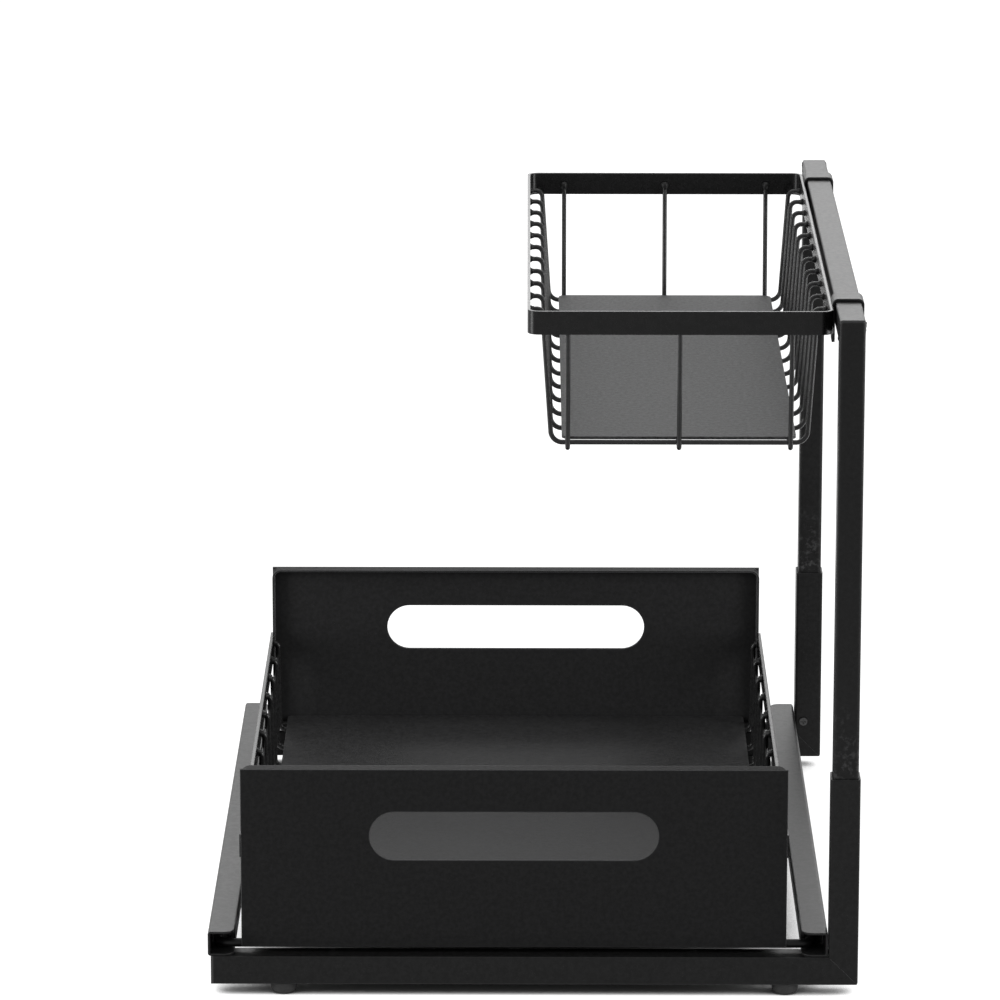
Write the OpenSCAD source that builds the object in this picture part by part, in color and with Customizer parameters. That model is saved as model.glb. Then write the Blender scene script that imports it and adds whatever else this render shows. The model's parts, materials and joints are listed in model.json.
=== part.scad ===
/* [Base frame] */
// Length of the base tubes, left to right
base_w = 331; // [291:5:371]
// Depth from the front face to the back face
base_d = 425; // [390:5:460]
// Outer width of the square base tube
tube_w = 15; // [14.8:0.1:15.2]
// Wall of the base tube
tube_wall = 0.8; // [0.7:0.05:0.9]
// Outer corner radius of the base tube
tube_r = 1.2; // [1:0.1:1.5]
// Height of the sleeves above the tube underside
sleeve_h = 109.7; // [90:1:130]
// Radius ground on the outer bottom corner of each mitre
mitre_r = 1.6; // [1:0.1:1.8]
// Thickness of every plastic plug cap
plug_cap = 1.2; // [1:0.1:2]
// Length of the plug stems inside the tubes
plug_stem = 12; // [8:1:16]
// Wall of the hollow plug stems
plug_wall = 1.2; // [1:0.1:1.6]

/* [Feet] */
// Height of the rubber feet under the tubes
foot_h = 6; // [6:0.5:8]
// Diameter of the rubber feet
foot_d = 13.5; // [10:0.5:14.5]
// Radius of the rounded bottom edge of a foot
foot_r = 3; // [0.5:0.25:3]
// Distance of the feet from the tube ends
foot_inset = 37; // [25:0.5:60]
// Diameter of the push-in stem of a foot
stem_d = 5; // [4:0.5:6]
// Diameter of the barb that holds a foot in the tube
barb_d = 7; // [6.5:0.5:8]
// Height of that barb
barb_h = 1.5; // [1:0.25:3]

/* [Rails] */
// Height of the rail channel
rail_h = 12.75; // [12:0.25:13.5]
// Width of the rail channel
rail_w = 13.3; // [13:0.1:14]
// Thickness of the rail sheet
rail_t = 1; // [0.8:0.1:1.1]
// Outer bend radius between the rail web and its flanges
rail_bend_r = 1.4; // [1.2:0.1:1.8]
// How far the left rail stands out past the tube end
rail_overhang = 1.5; // [0.5:0.1:2]
// Gap between the right rail and the sleeves
rail_sleeve_gap = 0.5; // [0.3:0.1:1]
// How far the rail ends stay back from the outer tube faces
rail_end_back = 1; // [0:0.5:3]
// Corner radius of the flanges at the open side
rail_flange_r = 5.5; // [3:0.5:7]
// Corner radius of the rear end at the web side
rail_rear_r = 1.5; // [1:0.25:3]
// Inward reach of the bent stop tabs
tab_l = 8; // [7:0.5:9]
// Height of the bent stop tabs
tab_h = 3.5; // [3:0.25:3.5]
// Position of the closing stop from the back face
stop_back = 22; // [21:1:30]
// Height of the stop tabs above the runner wire
tab_rise = 1; // [0.8:0.1:1.2]
// Length of the nylon guides in the front rail ends
guide_l = 18; // [10:1:24]
// Position of the nylon guides behind the front rail end
guide_back = 19; // [17:1:26]

/* [Clamp screws] */
// Shank diameter of the clamp screws
screw_d = 3; // [2:0.25:3.5]
// Head diameter of the clamp screws
screw_head_d = 4.6; // [4:0.2:6]
// Head height of the clamp screws
screw_head_h = 1.2; // [0.8:0.1:2]
// Height of the clamp screws above the base tube
screw_rise = 6.4; // [4:0.2:20]
// Distance of the clamp screws from the left face of their sleeve
screw_in = 5; // [4:0.25:10]
// Depth of the cross recess in the head
recess_depth = 0.7; // [0.4:0.1:0.8]
// Width of one bar of the cross recess
recess_w = 0.7; // [0.5:0.1:1]

/* [Drawer] */
// Gap between the centred drawer and each rail
drawer_gap = 5.7; // [4:0.1:8]
// How far the drawer front stays behind the tube front faces
drawer_back = 7.5; // [7:0.25:9]
// How far the drawer back stays in front of the tube back faces
drawer_rear = 13; // [12.5:0.25:14]
// Sideways offset of the drawer in its rails, within the play
drawer_shift = -2; // [-2:0.25:0]
// Drawer travel from closed to the front stop
travel = 310; // [250:5:320]
// Height of the front and back panels
panel_h = 94.6; // [85:0.2:105]
// How far the panels reach below the centre of the slide frame wire
panel_lap = 1; // [0.5:0.25:2]
// Sheet thickness of the panels
panel_t = 1.2; // [1:0.1:1.5]
// Depth of the panel flange, over the plate
flange_d = 7.5; // [7:0.25:10]
// Corner radius of the panel flange
flange_r = 5; // [3:0.5:8]
// Width of the hand slot
slot_w = 147.5; // [110:2.5:170]
// Height of the hand slot
slot_h = 25.6; // [22:0.2:30]
// Distance from the panel top to the slot centre
slot_drop = 35.3; // [30:0.5:45]
// Height of the side bands
band_h = 12; // [10:0.5:15]
// Thickness of the side bands
band_t = 2; // [1.5:0.1:2.5]
// Distance from the panel top to the band top
band_drop = 37; // [30:1:45]
// How far the side bands stand out past the panels
band_proud = 1; // [0:0.25:1.5]
// Diameter of the drawer wires
wire_d = 3; // [2.8:0.1:3]
// Diameter of the slide frame wire
runner_d = 4.5; // [4:0.25:4.75]
// Distance from the panels to the first and last cross wire
wire_margin = 20; // [14:0.5:30]
// Number of drawer cross wires
wire_count = 11; // [7:2:11]
// Distance from the band top to the wire links
link_drop = 3; // [2:0.25:5]
// Distance from the band to the leg centre at the link
crank = 2.6; // [2:0.1:4]
// Further inward lean of the legs at the floor
leg_lean = 0.8; // [0:0.1:3]
// Bend radius of the drawer wires at the floor
floor_bend_r = 3.75; // [3:0.25:6]
// Spacing of the drawer long wires
long_pitch = 92; // [62:5:107]
// Bend radius of the slide frame corners
slide_bend_r = 6; // [5:0.5:7]
// Thickness of the drawer mat
mat_t = 1.5; // [1:0.1:2]
// Corner radius of the drawer mat
mat_r = 3; // [1:0.5:8]
// Gap between the mat and the panel plates
mat_gap = 1; // [0.5:0.25:4]

/* [Glides] */
// Width of a nylon glide
glide_w = 7; // [6.5:0.1:7]
// Length of a nylon glide
glide_l = 18; // [14:1:24]
// Nylon left under the runner wire
glide_floor = 0.5; // [0.4:0.05:0.6]
// Clearance between a glide and the rail flanges
glide_gap = 0.2; // [0.1:0.05:0.3]
// Sideways play of a centred glide against the rail web
glide_play = 2.2; // [2.1:0.1:2.4]
// Radial fit of a glide on its wire
glide_fit = 0.05; // [0.03:0.01:0.1]

/* [Upright] */
// Clearance of the posts in the sleeves
post_gap = 0.2; // [0.15:0.05:0.3]
// Wall of the upright tube
post_wall = 1; // [0.8:0.1:1.2]
// Outer corner radius of the upright tube
post_r = 1.2; // [1.2:0.1:1.6]
// Height of the crossbar top above the ground
upright_top = 354; // [330:2:380]

/* [Hanging basket] */
// Width of the basket rim
rim_w = 154; // [145:1:165]
// Distance from the rim ends to the front and back of the base
rim_back = 30; // [20:1:50]
// Height of the rim band
rim_h = 12; // [10:0.5:14]
// Thickness of the rim band
rim_t = 1.5; // [1.2:0.1:2]
// Outer corner radius of the rim
rim_r = 6; // [4:0.5:10]
// Diameter of the basket wires
bwire_d = 2.5; // [2.2:0.1:2.8]
// Distance from the rim ends to the first and last cross wire
bwire_margin = 12; // [11.5:0.5:20]
// Number of basket cross wires
bwire_count = 12; // [8:2:12]
// Depth of the basket floor below the rim top
basket_depth = 70.4; // [60:0.2:80]
// Distance from the rim top to the wire links
blink_drop = 8; // [7:0.25:9.5]
// Distance from the rim outer face to the leg centre at the link
bleg_in = 8; // [7.8:0.1:12]
// Distance from the rim outer face to the leg centre at the floor
bleg_foot = 12.25; // [10:0.25:16]
// Bend radius of the basket wires at the links
blink_bend_r = 3.5; // [2.5:0.25:4]
// Bend radius of the basket wires at the floor
bfloor_bend_r = 6; // [4:0.5:8]
// Spacing of the basket long wires
blong_pitch = 56.5; // [45:0.5:58]
// Distance from the rim end to a long wire at the floor
blong_foot = 9; // [8:0.25:9.5]
// Bend radius of the basket long wires at the floor
blong_bend_r = 2.5; // [2:0.25:2.75]
// Distance from the basket legs to the mat
bmat_side = 5.25; // [5.25:0.25:10]
// Distance from the rim ends to the mat
bmat_end = 12.5; // [12:0.5:20]
// Corner radius of the basket mat
bmat_r = 5; // [2:0.5:10]

/* [Hooks] */
// Width of the hook strip
hook_w = 15; // [12:0.5:20]
// Thickness of the hook strip
hook_t = 1.4; // [1.2:0.1:1.4]
// Total height of a hook
hook_h = 22.9; // [20:0.5:30]
// Inner bend radius of a hook
hook_bend_r = 1.6; // [1:0.1:1.8]
// Corner radius at the ends of the hook legs
hook_end_r = 3; // [1:0.5:6]
// Distance from the rim end to the hook centre
hook_inset = 22.5; // [20:0.5:60]
// Height of the rim top below the hook underside
hook_rise = 2; // [1:0.25:4]

/* [Hidden] */
$fn = 24;
// clearance where one piece is set down on another
seat = 0.1;
// clearance left along a weld line of a round wire
weld_gap = 0.1;
// radial clearance of stems and shanks in their holes
hole_fit = 0.1;
// clearance of the glides to the closing stops
stop_gap = 0.3;
// overshoot of cutting shapes
over = 1;
// how much thicker a wire is in its bends
bend_swell = 0.04;
// how far a straight wire reaches into its bends
bend_bite = 0.3;

tube_z = foot_h + tube_w;
sleeve_x = base_w - tube_w;
rear_y = base_d - tube_w;

rail_left_x = -rail_overhang;
rail_right_x = sleeve_x - rail_sleeve_gap;
rail_mid_x = (rail_left_x + rail_right_x) / 2;
rail_len = base_d - 2 * rail_end_back;

hook_top_z = upright_top + seat + hook_t;
post_w = tube_w - 2 * tube_wall - 2 * post_gap;
post_x = sleeve_x + tube_wall + post_gap;
post_y = tube_wall + post_gap;
hook_gap = post_w + 2 * post_gap;
rim_right_x = post_x - post_gap - hook_t;

x_mid = (rail_left_x + post_x + post_w + post_gap + hook_t) / 2;
y_mid = base_d / 2;

wire_z = tube_z + rail_t + glide_gap + glide_floor + runner_d / 2;
long_z = wire_z - (runner_d - wire_d) / 2;
glide_h = rail_h - 2 * rail_t - 2 * glide_gap;
runner_in = rail_t + glide_play + glide_w / 2;
runner_half = (rail_right_x - rail_left_x) / 2 - runner_in;
drawer_w = rail_right_x - rail_left_x - 2 * rail_w - 2 * drawer_gap;
drawer_d = base_d - drawer_back - drawer_rear;
wire_pitch = (drawer_d - 2 * wire_margin) / (wire_count - 1);
drawer_x = rail_mid_x + drawer_shift;
drawer_y = drawer_back + drawer_d / 2;
plate_in_y = drawer_d / 2 - panel_t;
rod_y = plate_in_y - weld_gap - runner_d / 2;
panel_z = wire_z - panel_lap;
panel_top_z = panel_z + panel_h;
band_z = panel_top_z - band_drop - band_h;
floor_z = long_z + wire_d + weld_gap;
link_z = band_z + band_h - link_drop;
band_in_x = drawer_w / 2 + band_proud - band_t;
leg_top_x = band_in_x - crank;
leg_foot_x = leg_top_x - leg_lean;
mat_w = 2 * (leg_foot_x - floor_bend_r) - 2 * hole_fit;
mat_z = floor_z + wire_d / 2 + weld_gap;

stop_y = base_d - stop_back;
glide_rear_y = stop_y - stop_gap;
front_stop_y = glide_rear_y - glide_l - travel - seat;
tab_z = wire_z + runner_d / 2 + tab_rise;

rim_l = base_d - 2 * rim_back;
bwire_pitch = (rim_l - 2 * bwire_margin) / (bwire_count - 1);
bmat_w = rim_w - 2 * (bleg_foot + bmat_side);
bmat_l = rim_l - 2 * bmat_end;
rim_z = hook_top_z - hook_t - hook_rise - rim_h;
rim_x = rim_right_x - rim_w / 2;
rim_y = base_d / 2;
rim_top_z = rim_z + rim_h;
bfloor_z = rim_top_z - basket_depth;
blong_z = bfloor_z - bwire_d - weld_gap;

function unit(v) = v / norm(v);
function turn(a, b, c) = let (u = unit(b - a), w = unit(c - b))
    atan2(u.x * w.y - u.y * w.x, u.x * w.x + u.y * w.y);
function setback(a, b, c, r) = r * tan(abs(turn(a, b, c)) / 2);

// moves the working corner to the part origin
module place() {
    translate([-x_mid, -y_mid, 0])
        children();
}

// rounded rectangle centred on the origin
module rounded(w, h, r) {
    square([w - 2 * r, h], center = true);
    square([w, h - 2 * r], center = true);
    for (sx = [-1, 1], sy = [-1, 1])
        translate([sx * (w / 2 - r), sy * (h / 2 - r)])
            circle(r = r);
}

// slot outline with full round ends
module stadium(w, h) {
    square([w - h, h], center = true);
    for (s = [-1, 1])
        translate([s * (w - h) / 2, 0])
            circle(d = h);
}

// square tube section
module tube_section(w, wall, r) {
    difference() {
        rounded(w, w, r);
        rounded(w - 2 * wall, w - 2 * wall, r - wall);
    }
}

// stands a flat X-Z shape up, from y0 towards the back
module along_y(y0, length) {
    translate([0, y0 + length, 0])
        rotate([90, 0, 0])
            linear_extrude(length)
                children();
}

// stands a flat Y-Z shape up, from x0 towards the right
module along_x(x0, length) {
    translate([x0, 0, 0])
        rotate([90, 0, 90])
            linear_extrude(length)
                children();
}

// straight wire between two corners, cut back at each end
module wire_leg(a, b, cut_a, cut_b, d) {
    u = unit(b - a);
    translate(a + u * cut_a)
        rotate([0, 90, atan2(u.y, u.x)])
            cylinder(h = norm(b - a) - cut_a - cut_b, d = d);
}

// bend of a wire around one corner
module wire_bend(a, b, c, r, d) {
    t = turn(a, b, c);
    u = unit(b - a);
    inward = [-u.y, u.x] * sign(t);
    from_angle = atan2(-inward.y, -inward.x);
    translate(b - u * setback(a, b, c, r) + inward * r)
        rotate([0, 0, min(from_angle, from_angle + t)])
            rotate_extrude(angle = abs(t))
                translate([r, 0])
                    circle(d = d + bend_swell);
}

// bent wire through flat points, r holds one bend radius per point
module wire(p, r, d) {
    last = len(p) - 1;
    for (i = [0 : last - 1])
        wire_leg(p[i], p[i + 1],
            i == 0 ? 0 : setback(p[i - 1], p[i], p[i + 1], r[i]) - bend_bite,
            i == last - 1 ? 0 : setback(p[i], p[i + 1], p[i + 2], r[i + 1]) - bend_bite, d);
    for (i = [1 : last - 1])
        wire_bend(p[i - 1], p[i], p[i + 1], r[i], d);
}

// cross wire standing in the X-Z plane: link, leg, floor, leg, link
module cross_wire(end_x, top_x, top_z, foot_x, foot_z, top_r, foot_r, d) {
    p = [[-end_x, top_z], [-top_x, top_z], [-foot_x, foot_z],
        [foot_x, foot_z], [top_x, top_z], [end_x, top_z]];
    rotate([90, 0, 0])
        wire(p, [0, top_r, foot_r, foot_r, top_r, 0], d);
}

// ---------- base ----------

// triangle on one side of the base mitre, side is +1 for the sleeve half
module mitre_half(side) {
    far_x = side > 0 ? base_w + over : sleeve_x - over;
    far_z = side > 0 ? tube_z + over : foot_h - over;
    polygon([[sleeve_x - over, tube_z + over], [base_w + over, foot_h - over], [far_x, far_z]]);
}

// what is ground off the outer bottom corner of a mitre
module mitre_corner() {
    difference() {
        translate([base_w - mitre_r, foot_h - over])
            square([mitre_r + over, mitre_r + over]);
        translate([base_w - mitre_r, foot_h + mitre_r])
            circle(r = mitre_r);
    }
}

module base_tube(y0) {
    difference() {
        translate([0, y0 + tube_w / 2, foot_h + tube_w / 2])
            along_x(plug_cap, base_w - plug_cap)
                tube_section(tube_w, tube_wall, tube_r);
        along_y(y0 - over, tube_w + 2 * over)
            mitre_half(1);
        along_y(y0 - over, tube_w + 2 * over)
            mitre_corner();
        for (x = [foot_inset, base_w - foot_inset])
            translate([x, y0 + tube_w / 2, foot_h - over])
                cylinder(h = over + 2 * tube_wall, d = stem_d + 2 * hole_fit);
    }
}

// sleeve with its clamp screw hole in the back wall
module sleeve() {
    difference() {
        translate([sleeve_x + tube_w / 2, tube_w / 2, foot_h])
            linear_extrude(sleeve_h)
                tube_section(tube_w, tube_wall, tube_r);
        along_y(-over, tube_w + 2 * over)
            mitre_half(-1);
        along_y(-over, tube_w + 2 * over)
            mitre_corner();
        translate([sleeve_x + screw_in, tube_w / 2, tube_z + screw_rise])
            rotate([-90, 0, 0])
                cylinder(h = tube_w, d = screw_d + 2 * hole_fit);
    }
}

// mirrors a front piece to the back of the base
module at_back() {
    translate([0, base_d, 0])
        mirror([0, 1, 0])
            children();
}

// channel section with its web at x = 0 and its open side towards +X
module rail_section() {
    intersection() {
        square([rail_w, rail_h]);
        translate([rail_w, rail_h / 2])
            difference() {
                rounded(2 * rail_w, rail_h, rail_bend_r);
                rounded(2 * (rail_w - rail_t), rail_h - 2 * rail_t, rail_bend_r - rail_t);
            }
    }
}

// outline of a rail seen from above
module rail_outline() {
    r = rail_flange_r;
    translate([0, rail_rear_r])
        square([rail_w - r, rail_len - 2 * rail_rear_r]);
    translate([rail_rear_r, 0])
        square([rail_w - r - rail_rear_r, rail_len]);
    square([rail_rear_r, rail_rear_r]);
    translate([rail_w - r - over, r])
        square([r + over, rail_len - 2 * r]);
    for (y = [r, rail_len - r])
        translate([rail_w - r, y])
            circle(r = r);
    translate([rail_rear_r, rail_len - rail_rear_r])
        circle(r = rail_rear_r);
}

// bent stop tab with its front face at y, and the window it was cut from
module stop_tab(y) {
    translate([rail_t / 2, y, tab_z])
        cube([tab_l + rail_t / 2, rail_t, tab_h]);
}

module stop_window(y) {
    translate([-over, y + rail_t, tab_z])
        cube([2 * over + rail_t, tab_l, tab_h]);
}

// rail with its web at x = 0 and a stop tab for each end of the travel
module rail() {
    tabs = [front_stop_y - rail_t, stop_y];
    difference() {
        translate([0, rail_end_back, tube_z])
            intersection() {
                along_y(0, rail_len)
                    rail_section();
                linear_extrude(rail_h)
                    rail_outline();
            }
        for (y = tabs)
            stop_window(y);
    }
    for (y = tabs)
        stop_tab(y);
}

module front_base_tube() {
    color([0.09, 0.09, 0.095])
        place()
            base_tube(0);
}

module rear_base_tube() {
    color([0.09, 0.09, 0.095])
        place()
            base_tube(rear_y);
}

module front_sleeve() {
    color([0.09, 0.09, 0.095])
        place()
            sleeve();
}

module rear_sleeve() {
    color([0.09, 0.09, 0.095])
        place()
            at_back()
                sleeve();
}

module left_rail() {
    color([0.1, 0.1, 0.105])
        place()
            translate([rail_left_x, 0, 0])
                rail();
}

module right_rail() {
    color([0.1, 0.1, 0.105])
        place()
            translate([rail_right_x, 0, 0])
                mirror([1, 0, 0])
                    rail();
}

// plug with its cap at x = 0, stem towards +X
module square_plug(w, wall, r) {
    stem_w = w - 2 * wall - 2 * hole_fit;
    along_x(0, plug_cap)
        rounded(w, w, r);
    along_x(plug_cap, plug_stem)
        tube_section(stem_w, plug_wall, plug_wall + hole_fit);
}

module base_end_plugs() {
    color([0.05, 0.05, 0.05])
        place()
            for (y = [0, rear_y])
                translate([0, y + tube_w / 2, foot_h + tube_w / 2])
                    square_plug(tube_w, tube_wall, tube_r);
}

module foot() {
    rotate_extrude() {
        square([foot_d / 2 - foot_r, foot_h]);
        translate([0, foot_r])
            square([foot_d / 2, foot_h - foot_r]);
        translate([foot_d / 2 - foot_r, foot_r])
            circle(r = foot_r);
        square([stem_d / 2, foot_h + tube_wall + seat + barb_h]);
        translate([0, foot_h + tube_wall + seat])
            square([barb_d / 2, barb_h]);
    }
}

module rubber_feet() {
    color([0.04, 0.04, 0.04])
        place()
            for (x = [foot_inset, base_w - foot_inset], y = [0, rear_y])
                translate([x, y + tube_w / 2, 0])
                    foot();
}

// nylon guide in a rail whose web is at x = 0; the wire runs in its floor slot
module rail_guide() {
    slot_play = 2 * glide_play + runner_d;
    translate([rail_t, rail_end_back + guide_back, tube_z + rail_t])
        difference() {
            cube([rail_w - rail_t, guide_l, rail_h - 2 * rail_t]);
            translate([runner_in - rail_t - slot_play / 2, -over, -over])
                cube([slot_play, guide_l + 2 * over, runner_d + 3 * over]);
            cube([2 * (rail_bend_r - rail_t), 3 * guide_l, 3 * rail_h], center = true);
        }
}

module rail_guides() {
    color([0.06, 0.06, 0.06])
        place() {
            translate([rail_left_x, 0, 0])
                rail_guide();
            translate([rail_right_x, 0, 0])
                mirror([1, 0, 0])
                    rail_guide();
        }
}

// clamp screw in the back wall of the front sleeve, cross recess outwards
module clamp_screw() {
    translate([sleeve_x + screw_in, tube_w, tube_z + screw_rise])
        rotate([-90, 0, 0])
            difference() {
                union() {
                    translate([0, 0, -tube_wall - post_gap / 2])
                        cylinder(h = tube_wall + post_gap / 2, d = screw_d);
                    cylinder(h = screw_head_h, d = screw_head_d);
                }
                for (a = [0, 90])
                    rotate([0, 0, a])
                        translate([-screw_d / 2, -recess_w / 2, screw_head_h - recess_depth])
                            cube([screw_d, recess_w, over + recess_depth]);
            }
}

module clamp_screws() {
    color([0.35, 0.35, 0.36])
        place() {
            clamp_screw();
            at_back()
                clamp_screw();
        }
}

// ---------- drawer ----------

module drawer_place() {
    place()
        translate([drawer_x, drawer_y, 0])
            children();
}

// front panel: slotted plate with a flange turned inwards
module panel() {
    leg_z = wire_z + runner_d / 2 + stop_gap;
    along_y(-drawer_d / 2, panel_t)
        difference() {
            translate([-drawer_w / 2, panel_z])
                square([drawer_w, panel_h]);
            translate([0, panel_top_z - slot_drop])
                stadium(slot_w, slot_h);
        }
    along_y(-plate_in_y, flange_d - panel_t)
        intersection() {
            translate([0, panel_top_z - panel_h])
                difference() {
                    rounded(drawer_w, 2 * panel_h, flange_r);
                    rounded(drawer_w - 2 * panel_t, 2 * (panel_h - panel_t), flange_r - panel_t);
                }
            translate([-drawer_w / 2, leg_z])
                square([drawer_w, panel_h]);
        }
}

module drawer_front_panel() {
    color([0.1, 0.1, 0.105])
        drawer_place()
            panel();
}

module drawer_back_panel() {
    color([0.1, 0.1, 0.105])
        drawer_place()
            mirror([0, 1, 0])
                panel();
}

// side band on the side given by its sign
module side_band(side) {
    length = drawer_d - 2 * flange_d;
    translate([side * (band_in_x + band_t / 2) - band_t / 2, -length / 2, band_z])
        cube([band_t, length, band_h]);
}

module drawer_left_band() {
    color([0.12, 0.12, 0.125])
        drawer_place()
            side_band(-1);
}

module drawer_right_band() {
    color([0.12, 0.12, 0.125])
        drawer_place()
            side_band(1);
}

module drawer_cross_wires() {
    half = (wire_count - 1) / 2;
    color([0.1, 0.1, 0.105])
        drawer_place()
            for (i = [-half : half])
                translate([0, i * wire_pitch, 0])
                    cross_wire(band_in_x, leg_top_x, link_z, leg_foot_x, floor_z,
                        crank - hole_fit, floor_bend_r, wire_d);
}

module drawer_long_wires() {
    length = 2 * (rod_y - runner_d / 2 - weld_gap);
    color([0.1, 0.1, 0.105])
        drawer_place()
            for (x = [-long_pitch, 0, long_pitch])
                translate([x, length / 2, long_z])
                    rotate([90, 0, 0])
                        cylinder(h = length, d = wire_d);
}

// closed wire loop whose long sides are the runners
module drawer_slide_frame() {
    r = slide_bend_r;
    color([0.1, 0.1, 0.105])
        drawer_place()
            translate([0, 0, wire_z]) {
                for (s = [-1, 1]) {
                    translate([s * runner_half, rod_y - r, 0])
                        rotate([90, 0, 0])
                            cylinder(h = 2 * (rod_y - r), d = runner_d);
                    translate([-runner_half + r, s * rod_y, 0])
                        rotate([0, 90, 0])
                            cylinder(h = 2 * (runner_half - r), d = runner_d);
                }
                for (a = [0 : 90 : 270]) {
                    side_x = cos(a) > sin(a) ? 1 : -1;
                    side_y = cos(a) + sin(a) > 0 ? 1 : -1;
                    translate([side_x * (runner_half - r), side_y * (rod_y - r), 0])
                        rotate([0, 0, a])
                            rotate_extrude(angle = 90)
                                translate([r, 0])
                                    circle(d = runner_d);
                }
            }
}

module drawer_glides() {
    color([0.06, 0.06, 0.06])
        place()
            for (s = [-1, 1])
                translate([drawer_x + s * runner_half, glide_rear_y - glide_l, wire_z])
                    difference() {
                        translate([-glide_w / 2, 0, -runner_d / 2 - glide_floor])
                            cube([glide_w, glide_l, glide_h]);
                        translate([0, glide_l + over, 0])
                            rotate([90, 0, 0])
                                cylinder(h = glide_l + 2 * over, d = runner_d + 2 * glide_fit);
                    }
}

module drawer_mat() {
    color([0.13, 0.13, 0.14])
        drawer_place()
            translate([0, 0, mat_z])
                linear_extrude(mat_t)
                    rounded(mat_w, 2 * (plate_in_y - mat_gap), mat_r);
}

// ---------- upright ----------

// triangle above the front top mitre, in the Y-Z plane
module top_mitre_half(side) {
    far_y = side > 0 ? post_y + post_w + over : post_y - over;
    far_z = side > 0 ? upright_top + over : upright_top - post_w - over;
    polygon([[post_y - over, upright_top + over],
        [post_y + post_w + over, upright_top - post_w - over], [far_y, far_z]]);
}

module front_post() {
    base_z = foot_h + tube_wall + seat + plug_cap;
    difference() {
        translate([post_x + post_w / 2, post_y + post_w / 2, base_z])
            linear_extrude(upright_top - base_z)
                tube_section(post_w, post_wall, post_r);
        along_x(post_x - over, post_w + 2 * over)
            top_mitre_half(1);
    }
}

module front_upright() {
    color([0.09, 0.09, 0.095])
        place()
            front_post();
}

module rear_upright() {
    color([0.09, 0.09, 0.095])
        place()
            at_back()
                front_post();
}

module crossbar() {
    color([0.09, 0.09, 0.095])
        place()
            difference() {
                translate([post_x + post_w / 2, 0, upright_top - post_w / 2])
                    along_y(post_y, base_d - 2 * post_y)
                        tube_section(post_w, post_wall, post_r);
                along_x(post_x - over, post_w + 2 * over)
                    top_mitre_half(-1);
                at_back()
                    along_x(post_x - over, post_w + 2 * over)
                        top_mitre_half(-1);
            }
}

module upright_end_plugs() {
    color([0.05, 0.05, 0.05])
        place()
            for (y = [post_y, base_d - post_y - post_w])
                translate([post_x + post_w / 2, y + post_w / 2, foot_h + tube_wall + seat])
                    rotate([0, -90, 0])
                        square_plug(post_w, post_wall, post_r);
}

// ---------- hanging basket ----------

module basket_place() {
    place()
        translate([rim_x, rim_y, 0])
            children();
}

module basket_rim() {
    color([0.1, 0.1, 0.105])
        basket_place()
            translate([0, 0, rim_z])
                linear_extrude(rim_h)
                    difference() {
                        rounded(rim_w, rim_l, rim_r);
                        rounded(rim_w - 2 * rim_t, rim_l - 2 * rim_t, rim_r - rim_t);
                    }
}

module basket_cross_wires() {
    half = (bwire_count - 1) / 2;
    color([0.1, 0.1, 0.105])
        basket_place()
            for (i = [-half : half])
                translate([0, i * bwire_pitch, 0])
                    cross_wire(rim_w / 2 - rim_t, rim_w / 2 - bleg_in, rim_top_z - blink_drop,
                        rim_w / 2 - bleg_foot, bfloor_z, blink_bend_r, bfloor_bend_r, bwire_d);
}

// long wires, from inside one rim end under the floor to the other
module basket_long_wires() {
    end_y = rim_l / 2 - rim_t - bwire_d / 2 - weld_gap;
    foot_y = rim_l / 2 - blong_foot;
    top_z = rim_z + rim_h / 2;
    p = [[-end_y, top_z], [-foot_y, blong_z], [foot_y, blong_z], [end_y, top_z]];
    color([0.1, 0.1, 0.105])
        basket_place()
            for (x = [-blong_pitch, 0, blong_pitch])
                translate([x, 0, 0])
                    rotate([90, 0, 90])
                        wire(p, [0, blong_bend_r, blong_bend_r, 0], bwire_d);
}

// hook over the crossbar, its inner leg on the rim
module hook() {
    outer_w = hook_gap + 2 * hook_t;
    intersection() {
        along_y(-hook_w / 2, hook_w)
            translate([rim_w / 2 + outer_w / 2, hook_top_z])
                intersection() {
                    translate([-outer_w / 2, -hook_h])
                        square([outer_w, hook_h]);
                    translate([0, -hook_h])
                        difference() {
                            rounded(outer_w, 2 * hook_h, hook_bend_r + hook_t);
                            rounded(hook_gap, 2 * (hook_h - hook_t), hook_bend_r);
                        }
                }
        translate([0, 0, hook_top_z])
            along_x(rim_w / 2 - over, outer_w + 2 * over)
                rounded(hook_w, 2 * hook_h, hook_end_r);
    }
}

module front_hook() {
    color([0.1, 0.1, 0.105])
        basket_place()
            translate([0, hook_inset - rim_l / 2, 0])
                hook();
}

module rear_hook() {
    color([0.1, 0.1, 0.105])
        basket_place()
            translate([0, rim_l / 2 - hook_inset, 0])
                hook();
}

module basket_mat() {
    color([0.2, 0.2, 0.21])
        basket_place()
            translate([0, 0, bfloor_z + bwire_d / 2 + weld_gap])
                linear_extrude(mat_t)
                    rounded(bmat_w, bmat_l, bmat_r);
}

front_base_tube();
rear_base_tube();
front_sleeve();
rear_sleeve();
left_rail();
right_rail();
base_end_plugs();
rubber_feet();
rail_guides();
clamp_screws();
drawer_front_panel();
drawer_back_panel();
drawer_left_band();
drawer_right_band();
drawer_cross_wires();
drawer_long_wires();
drawer_slide_frame();
drawer_glides();
drawer_mat();
front_upright();
rear_upright();
crossbar();
upright_end_plugs();
basket_rim();
basket_cross_wires();
basket_long_wires();
front_hook();
rear_hook();
basket_mat();
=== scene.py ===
"""Finishes, light and camera for a pull out cabinet basket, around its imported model."""

import json
import math

import bmesh
import bpy
from mathutils import Matrix, Vector


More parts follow.
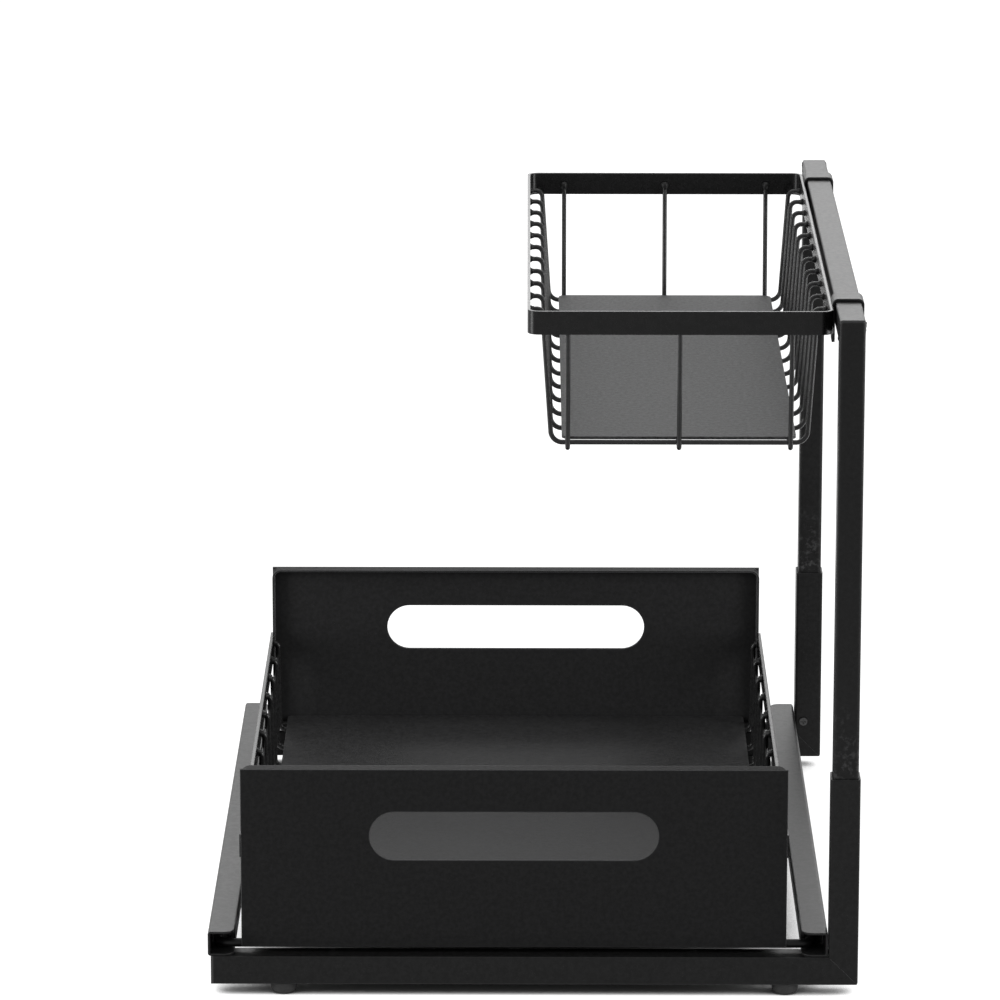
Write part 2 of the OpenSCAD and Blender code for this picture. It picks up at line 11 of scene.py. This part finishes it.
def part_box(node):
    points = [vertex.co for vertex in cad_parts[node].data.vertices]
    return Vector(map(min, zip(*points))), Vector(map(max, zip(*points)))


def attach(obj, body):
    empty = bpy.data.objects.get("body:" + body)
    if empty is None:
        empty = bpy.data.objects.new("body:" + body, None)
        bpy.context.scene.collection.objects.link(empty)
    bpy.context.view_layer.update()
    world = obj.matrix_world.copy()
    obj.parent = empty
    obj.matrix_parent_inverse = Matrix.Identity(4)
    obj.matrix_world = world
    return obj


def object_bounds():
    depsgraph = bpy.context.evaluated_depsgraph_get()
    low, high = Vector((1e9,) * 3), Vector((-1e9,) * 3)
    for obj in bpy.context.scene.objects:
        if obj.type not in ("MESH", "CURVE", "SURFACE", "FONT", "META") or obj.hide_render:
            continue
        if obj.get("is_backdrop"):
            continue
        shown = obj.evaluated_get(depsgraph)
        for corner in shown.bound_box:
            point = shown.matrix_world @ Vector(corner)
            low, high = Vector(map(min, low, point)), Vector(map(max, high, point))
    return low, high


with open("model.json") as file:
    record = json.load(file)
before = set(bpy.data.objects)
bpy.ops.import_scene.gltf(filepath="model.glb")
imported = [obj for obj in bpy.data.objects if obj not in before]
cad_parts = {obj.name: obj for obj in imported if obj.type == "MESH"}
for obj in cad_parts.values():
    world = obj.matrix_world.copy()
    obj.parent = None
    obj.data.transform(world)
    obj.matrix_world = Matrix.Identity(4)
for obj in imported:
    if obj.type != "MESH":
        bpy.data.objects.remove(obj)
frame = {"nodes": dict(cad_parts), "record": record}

cad_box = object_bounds()
MM = 0.001

# ---------- camera ----------

CAMERA_PLACE = (-0.003836, -3.12968, 0.996238)
CAMERA_PITCH = 0.2466
CAMERA_YAW = -0.0046
CAMERA_ROLL = -0.0006
CAMERA_LENS = 216


def add_camera():
    """The camera at the photo's viewing angle, looking along +Y and down by its pitch."""
    data = bpy.data.cameras.new("camera")
    data.lens = CAMERA_LENS
    data.sensor_width = 36
    data.clip_end = 50
    camera = bpy.data.objects.new("camera", data)
    bpy.context.scene.collection.objects.link(camera)
    camera.matrix_world = (
        Matrix.Translation(CAMERA_PLACE)
        @ Matrix.Rotation(-CAMERA_YAW, 4, "Z")
        @ Matrix.Rotation(math.pi / 2 - CAMERA_PITCH, 4, "X")
        @ Matrix.Rotation(-CAMERA_ROLL, 4, "Z")
    )
    bpy.context.scene.camera = camera


# ---------- node helpers ----------


def shader(name):
    """A new material, its node tree and its Principled shader."""
    material = bpy.data.materials.new(name)
    material.use_nodes = True
    tree = material.node_tree
    return material, tree, tree.nodes["Principled BSDF"]


def add_node(tree, kind, **values):
    """A node of that kind; each value goes to the property or the input of that name."""
    node = tree.nodes.new(kind)
    for name, value in values.items():
        if hasattr(node, name):
            setattr(node, name, value)
        else:
            node.inputs[name.replace("_", " ")].default_value = value
    return node


def grey(value):
    """A grey, a touch cool."""
    return (value, value, value * 1.02)


def object_place(tree):
    """The place of a point on its own object."""
    return add_node(tree, "ShaderNodeTexCoord").outputs["Object"]


def noise(tree, place, scale, detail=4.0, roughness=0.6):
    """Noise over the object, scale in features a metre."""
    node = add_node(tree, "ShaderNodeTexNoise", Scale=scale, Detail=detail, Roughness=roughness)
    tree.links.new(place, node.inputs["Vector"])
    return node.outputs["Fac"]


def spread(tree, value, low, high, to_low, to_high):
    """The value's range low..high, clamped and mapped to another range."""
    node = add_node(tree, "ShaderNodeMapRange")
    names = ("From Min", "From Max", "To Min", "To Max")
    for name, number in zip(names, (low, high, to_low, to_high)):
        node.inputs[name].default_value = number
    tree.links.new(value, node.inputs["Value"])
    return node.outputs["Result"]


def blend_colours(tree, factor, first, second):
    """A mix of two colours; each is a colour or another node's output."""
    node = add_node(tree, "ShaderNodeMix", data_type="RGBA")
    tree.links.new(factor, node.inputs["Factor"])
    for socket, colour in ((node.inputs[6], first), (node.inputs[7], second)):
        if isinstance(colour, tuple):
            socket.default_value = (*colour, 1)
        else:
            tree.links.new(colour, socket)
    return node.outputs[2]


def bump(tree, height, distance, strength, normal=None):
    """Bump from a height, distance in metres."""
    node = add_node(tree, "ShaderNodeBump", Distance=distance, Strength=strength)
    tree.links.new(height, node.inputs["Height"])
    if normal:
        tree.links.new(normal, node.inputs["Normal"])
    return node.outputs["Normal"]


def edge_wear_and_highlight(tree, bevel):
    """1 along the outer edges and 0 on the flats, from how far a rounded normal leans; it marks
    worn edges that also carry a painted highlight.
    """
    flat = add_node(tree, "ShaderNodeNewGeometry")
    lean = add_node(tree, "ShaderNodeVectorMath", operation="DOT_PRODUCT")
    tree.links.new(bevel, lean.inputs[0])
    tree.links.new(flat.outputs["Normal"], lean.inputs[1])
    return spread(tree, lean.outputs["Value"], 1.0, 0.8, 0.0, 1.0)


# ---------- materials ----------

# features a metre of the noises that the powder coats share
RUB_SCALE = 330
CLOUD_SCALE = 430
PEEL_SCALE = 1400
SPECK_SCALE = 2600

RUB_FADE = 45 * MM
EDGE_ROUNDING = 0.9 * MM
TUBE_ROUNDING = 0.5 * MM
POST_ROUNDING = 1.8 * MM

DUST = 0.05
RUB_MARK = 0.06


def rubbed(tree, place, height):
    """Patchy rub marks up to that height, which fade out above it."""
    parts = add_node(tree, "ShaderNodeSeparateXYZ")
    tree.links.new(place, parts.inputs["Vector"])
    below = spread(tree, parts.outputs["Z"], height, height + RUB_FADE, 1, 0)
    patches = spread(tree, noise(tree, place, RUB_SCALE, 3.0, 0.7), 0.52, 0.68, 0, 0.8)
    marks = add_node(tree, "ShaderNodeMath", operation="MULTIPLY")
    tree.links.new(below, marks.inputs[0])
    tree.links.new(patches, marks.inputs[1])
    return marks.outputs["Value"]


def powder_coat(name, shades, gloss, index, edge, rounding=EDGE_ROUNDING, rub_height=None):
    """Black powder coat: orange peel, uneven gloss, dust specks, and edges lighter from a thin
    worn coat and a painted highlight.

    shades are its two greys, gloss its two roughnesses, index its refraction, edge the grey of
    its edges, worn thin and painted lighter as a highlight, and rounding their radius. Below
    rub_height the coat has rub marks.
    """
    material, tree, surface = shader(name)
    place = object_place(tree)
    bevel = add_node(tree, "ShaderNodeBevel", samples=6, Radius=rounding).outputs["Normal"]
    wear_and_highlight = edge_wear_and_highlight(tree, bevel)
    clouds = spread(tree, noise(tree, place, CLOUD_SCALE, 4.0, 0.65), 0.36, 0.64, 0, 1)
    fine = noise(tree, place, PEEL_SCALE, 2.0)
    specks = spread(tree, noise(tree, place, SPECK_SCALE, 1.0, 0.4), 0.76, 0.80, 0.0, 1.0)
    coat = blend_colours(tree, clouds, grey(shades[0]), grey(shades[1]))
    # Edges lighter in grey: partly worn thin coat, partly a painted highlight on the rounded
    # edges.
    worn_and_highlit = blend_colours(tree, wear_and_highlight, coat, grey(edge))
    dusty = blend_colours(tree, specks, worn_and_highlit, grey(DUST))
    if rub_height:
        dusty = blend_colours(tree, rubbed(tree, place, rub_height), dusty, grey(RUB_MARK))
    tree.links.new(dusty, surface.inputs["Base Color"])
    tree.links.new(spread(tree, clouds, 0, 1, *gloss), surface.inputs["Roughness"])
    surface.inputs["IOR"].default_value = index
    peel = bump(tree, fine, 0.02 * MM, 0.4, bevel)
    tree.links.new(peel, surface.inputs["Normal"])
    return material


def moulded_plastic():
    """Matt black nylon with a fine moulded grain."""
    material, tree, surface = shader("moulded_plastic")
    place = object_place(tree)
    clouds = noise(tree, place, 120)
    grain = noise(tree, place, 2500, 2.0)
    colour = blend_colours(tree, clouds, (0.007, 0.007, 0.007), (0.012, 0.012, 0.012))
    tree.links.new(colour, surface.inputs["Base Color"])
    tree.links.new(spread(tree, grain, 0.3, 0.7, 0.5, 0.65), surface.inputs["Roughness"])
    tree.links.new(bump(tree, grain, 0.04 * MM, 0.6), surface.inputs["Normal"])
    return material


def rubber():
    """Matt black rubber, greyer where dust clings to it."""
    material, tree, surface = shader("rubber")
    place = object_place(tree)
    clouds = noise(tree, place, 300)
    grain = noise(tree, place, 3000, 2.0)
    colour = blend_colours(tree, clouds, (0.009, 0.009, 0.009), (0.02, 0.02, 0.02))
    tree.links.new(colour, surface.inputs["Base Color"])
    tree.links.new(spread(tree, grain, 0.3, 0.7, 0.7, 0.85), surface.inputs["Roughness"])
    tree.links.new(bump(tree, grain, 0.05 * MM, 0.6), surface.inputs["Normal"])
    return material


def dark_screw():
    """Blackened steel of the small screws, with a cloudy tone."""
    material, tree, surface = shader("dark_screw")
    place = object_place(tree)
    clouds = noise(tree, place, 900)
    colour = blend_colours(tree, clouds, (0.03, 0.03, 0.031), (0.07, 0.07, 0.07))
    tree.links.new(colour, surface.inputs["Base Color"])
    tree.links.new(spread(tree, clouds, 0.3, 0.7, 0.3, 0.5), surface.inputs["Roughness"])
    surface.inputs["Metallic"].default_value = 0.6
    tree.links.new(bump(tree, clouds, 0.02 * MM, 0.5), surface.inputs["Normal"])
    return material


def mat_sheet(name, low, high, index):
    """Textured plastic sheet: fine leathery grain in two shades of grey, index its refraction."""
    material, tree, surface = shader(name)
    place = object_place(tree)
    grain = noise(tree, place, 450, 5.0, 0.8)
    fine = noise(tree, place, 1800, 2.0)
    base = blend_colours(tree, spread(tree, grain, 0.38, 0.62, 0, 1), low, high)
    tree.links.new(base, surface.inputs["Base Color"])
    tree.links.new(spread(tree, grain, 0.3, 0.7, 0.62, 0.7), surface.inputs["Roughness"])
    surface.inputs["IOR"].default_value = index
    pits = bump(tree, grain, 0.15 * MM, 0.6, bump(tree, fine, 0.08 * MM, 0.8))
    tree.links.new(pits, surface.inputs["Normal"])
    return material


def dress():
    """Gives every CAD node the material of its slot, or the coat of its kind of piece."""
    sleeve_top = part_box("front_sleeve")[1][2]
    finishes = {
        "black_steel": powder_coat("satin_coat", (0.006, 0.01), (0.40, 0.36), 1.25, 0.022),
        "black_plastic": moulded_plastic(),
        "black_rubber": rubber(),
        "screw_steel": dark_screw(),
        "dark_mat": mat_sheet("drawer_mat_sheet", grey(0.0075), grey(0.023), 1.25),
        "grey_mat": mat_sheet("basket_mat_sheet", grey(0.01), grey(0.058), 1.3),
    }
    # Copies of one black powder coat: their greys are painted darker on tubes, sleeves, bands, rim
    # and posts and lighter on the panels, as shade and light that differ by part; their roughness
    # and index differ as well.
    tube_coat = powder_coat("tube_coat", (0.002, 0.007), (0.40, 0.35), 1.25, 0.02, TUBE_ROUNDING)
    band_coat = powder_coat("band_coat", (0.002, 0.006), (0.26, 0.22), 1.27, 0.022)
    special = {
        "panel": powder_coat("dull_coat", (0.0142, 0.0192), (0.66, 0.6), 1.14, 0.12),
        "wires": powder_coat("wire_coat", (0.006, 0.014), (0.26, 0.22), 1.33, 0.022),
        "band": band_coat,
        "rim": band_coat,
        "upright": powder_coat(
            "post_coat", (0.002, 0.006), (0.40, 0.35), 1.25, 0.07, POST_ROUNDING, sleeve_top
        ),
        "sleeve": tube_coat,
        "tube": tube_coat,
    }
    for part in frame["record"]["subparts"]:
        node = frame["nodes"][part["node"]]
        node.data.materials.clear()
        kind = part["node"].split("_")[-1]
        node.data.materials.append(special.get(kind, finishes[part["material_slot"]]))
    return finishes["black_steel"]


# ---------- welds ----------

BEAD_SIDES = 14
SEAM_RADIUS = 1.3 * MM
MITRE_SEAM_RADIUS = 0.8 * MM
MITRE_SEAM_SINK = 0.3 * MM
SEAM_END_GAP = 2 * MM
END_WALL_LEAN = math.radians(5.07)
RIGHT = Vector((1, 0, 0))

# weld metal along a wire end: depth back from the end and width, in wire radii
COLLAR = ((-0.1, 1.6), (0.4, 1.45), (0.9, 1.15), (1.5, 1.02))
BLOB = ((-1.1, 0.4), (-0.8, 1.1), (-0.1, 1.55), (0.8, 1.45), (1.6, 1.15), (2.4, 1.02))


def wires(node):
    """The points of each separate wire of a CAD node, in the mesh's own order."""
    mesh = bmesh.new()
    mesh.from_mesh(frame["nodes"][node].data)
    bmesh.ops.remove_doubles(mesh, verts=mesh.verts, dist=0.01 * MM)
    found = set()
    for start in mesh.verts:
        if start in found:
            continue
        found.add(start)
        wire = [start]
        for vertex in wire:
            for edge in vertex.link_edges:
                near = edge.other_vert(vertex)
                if near not in found:
                    found.add(near)
                    wire.append(near)
        yield [vertex.co.copy() for vertex in wire]
    mesh.free()


def lumpy_ring(mesh, centre, axis, radius, turn):
    """A ring of points about an axis, swollen here and there."""
    side = axis.orthogonal().normalized()
    up = axis.cross(side)
    ring = []
    for k in range(BEAD_SIDES):
        angle = math.tau * k / BEAD_SIDES
        swell = 1 + 0.09 * math.sin(2 * angle + turn) + 0.06 * math.sin(3 * angle - 2 * turn)
        out = math.cos(angle) * side + math.sin(angle) * up
        ring.append(mesh.verts.new(centre + radius * swell * out))
    return ring


def skin(mesh, rings):
    """Faces between the rings, with both ends closed."""
    for low, high in zip(rings, rings[1:]):
        for k in range(BEAD_SIDES):
            after = (k + 1) % BEAD_SIDES
            mesh.faces.new((low[k], low[after], high[after], high[k]))
    mesh.faces.new(rings[0][::-1])
    mesh.faces.new(rings[-1])


def end_weld(mesh, points, way, profile, turn):
    """Weld metal of that profile round the wire end furthest that way."""
    reach = max(point.dot(way) for point in points)
    end = [point for point in points if point.dot(way) > reach - 0.05 * MM]
    centre = sum(end, Vector()) / len(end)
    radius = max((point - centre).length for point in end)
    skin(mesh, [
        lumpy_ring(mesh, centre - way * depth * radius, way, width * radius, turn + depth)
        for depth, width in profile
    ])


def seam_weld(mesh, start, end, radius):
    """A welded seam in a corner: overlapping ripples from start to end."""
    axis = (end - start).normalized()
    count = round((end - start).length / (0.5 * radius))
    rings = []
    for i in range(count + 1):
        ripple = 0.8 + 0.2 * abs(math.sin(0.9 * i))
        rings.append(lumpy_ring(mesh, start.lerp(end, i / count), axis, radius * ripple, 0.7 * i))
    skin(mesh, rings)


def add_welds(name, body, material, build):
    """The welds of one body as one piece."""
    mesh = bmesh.new()
    build(mesh)
    bmesh.ops.recalc_face_normals(mesh, faces=mesh.faces)
    data = bpy.data.meshes.new(name)
    mesh.to_mesh(data)
    mesh.free()
    for face in data.polygons:
        face.use_smooth = True
    data.materials.append(material)
    welds = bpy.data.objects.new(name, data)
    bpy.context.scene.collection.objects.link(welds)
    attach(welds, body)


def drawer_welds(mesh):
    """Collars where the drawer's cross wires meet its side bands."""
    for turn, points in enumerate(wires("drawer_cross_wires")):
        for way in (RIGHT, -RIGHT):
            end_weld(mesh, points, way, COLLAR, turn)


def basket_welds(mesh):
    """Collars where the basket's cross wires meet its rim, blobs at the tops of its long wires."""
    for turn, points in enumerate(wires("basket_cross_wires")):
        for way in (RIGHT, -RIGHT):
            end_weld(mesh, points, way, COLLAR, turn)
    for turn, points in enumerate(wires("basket_long_wires")):
        for side in (-1, 1):
            way = Vector((0, side * math.sin(END_WALL_LEAN), math.cos(END_WALL_LEAN)))
            end_weld(mesh, points, way, BLOB, 2 * turn + side)


def upright_welds(mesh):
    """Seams between crossbar and posts: in the inner corners, and low ones along the mitres."""
    (left, front, under), (right, rear, top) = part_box("crossbar")
    post_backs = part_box("front_upright")[1][1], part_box("rear_upright")[0][1]
    for outer, inner in zip((front, rear), post_backs):
        start = Vector((left + SEAM_END_GAP, inner, under))
        end = Vector((right - SEAM_END_GAP, inner, under))
        seam_weld(mesh, start, end, SEAM_RADIUS)
        for face in (left + MITRE_SEAM_SINK, right - MITRE_SEAM_SINK):
            high = Vector((face, outer, top))
            low = Vector((face, inner, under))
            seam_weld(mesh, high.lerp(low, 0.1), high.lerp(low, 0.95), MITRE_SEAM_RADIUS)


# ---------- light and floor ----------

LIT_WORLD = 0.5
FLOOR_REACH = 6
FLOOR_GREY = 0.25
COVER_DISTANCE = 0.5

# name, place, aim, width, depth, watts
SOFTBOXES = (
    ("overhead_softbox", (0, 0.2, 1.6), (0, 0.2, 0), 1.6, 1.6, 12),
    ("rear_softbox", (0, 2.2, 1.15), (0, 0, 0.17), 2.6, 0.9, 17),
    ("side_softbox_1", (-0.95, -0.35, 0.37), (0, 0, 0.2), 0.45, 0.7, 8),
    ("side_softbox_3", (0.95, -0.35, 0.37), (0, 0, 0.2), 0.45, 0.7, 8),
)


def seen_or_reflected(tree):
    """1 for what the camera sees, also in a reflection or through glass, and 0 for other light."""
    path = add_node(tree, "ShaderNodeLightPath")
    seen = path.outputs["Is Camera Ray"]
    for ray in ("Is Glossy Ray", "Is Transmission Ray"):
        either = add_node(tree, "ShaderNodeMath", operation="MAXIMUM")
        tree.links.new(seen, either.inputs[0])
        tree.links.new(path.outputs[ray], either.inputs[1])
        seen = either.outputs["Value"]
    return seen


def add_world():
    """Even white light, as in a light tent: white where it is seen, weaker on the object."""
    world = bpy.data.worlds.new("studio")
    bpy.context.scene.world = world
    world.use_nodes = True
    tree = world.node_tree
    background = tree.nodes["Background"]
    background.inputs["Color"].default_value = (1, 1, 1, 1)
    strength = spread(tree, seen_or_reflected(tree), 0, 1, LIT_WORLD, 1)
    tree.links.new(strength, background.inputs["Strength"])


def add_softbox(name, place, aim, width, depth, watts):
    """A rectangular softbox that faces the point it is aimed at."""
    data = bpy.data.lights.new(name, "AREA")
    data.shape = "RECTANGLE"
    data.size = width
    data.size_y = depth
    data.energy = watts
    softbox = bpy.data.objects.new(name, data)
    softbox.location = place
    softbox.rotation_euler = (Vector(aim) - Vector(place)).to_track_quat("-Z", "Y").to_euler()
    softbox.visible_camera = False
    bpy.context.scene.collection.objects.link(softbox)


def add_floor():
    """White floor: diffuse, so that it keeps the shadow, with the rest of its white as a glow.

    The glow fades where the object covers the floor, so that the contact shadow stays dark.
    """
    mesh = bpy.data.meshes.new("floor")
    sides = ((-1, -1), (1, -1), (1, 1), (-1, 1))
    corners = [(x * FLOOR_REACH, y * FLOOR_REACH, 0) for x, y in sides]
    mesh.from_pydata(corners, [], [(0, 1, 2, 3)])
    floor = bpy.data.objects.new("floor", mesh)
    bpy.context.scene.collection.objects.link(floor)
    material, tree, surface = shader("floor")
    surface.inputs["Base Color"].default_value = (FLOOR_GREY, FLOOR_GREY, FLOOR_GREY, 1)
    surface.inputs["Roughness"].default_value = 1
    surface.inputs["Specular IOR Level"].default_value = 0
    surface.inputs["Emission Color"].default_value = (1, 1, 1, 1)
    cover = add_node(tree, "ShaderNodeAmbientOcclusion", samples=16, Distance=COVER_DISTANCE)
    clear = add_node(tree, "ShaderNodeMapRange", interpolation_type="SMOOTHSTEP")
    for name, number in (("From Min", 0.15), ("From Max", 0.5), ("To Min", 0), ("To Max", 0.95)):
        clear.inputs[name].default_value = number
    tree.links.new(cover.outputs["AO"], clear.inputs["Value"])
    glow = add_node(tree, "ShaderNodeMath", operation="MULTIPLY")
    tree.links.new(clear.outputs["Result"], glow.inputs[0])
    tree.links.new(seen_or_reflected(tree), glow.inputs[1])
    tree.links.new(glow.outputs["Value"], surface.inputs["Emission Strength"])
    mesh.materials.append(material)
    floor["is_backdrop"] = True


add_camera()
add_world()
for softbox in SOFTBOXES:
    add_softbox(*softbox)
add_floor()
coat = dress()
add_welds("drawer_welds", "drawer", coat, drawer_welds)
add_welds("basket_welds", "hanging_basket", coat, basket_welds)
add_welds("upright_welds", "upright", coat, upright_welds)
bpy.context.scene.view_settings.view_transform = "Standard"

sizes = {"cad": cad_box, "visual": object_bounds()}
{name: [list(corner) for corner in box] for name, box in sizes.items()}
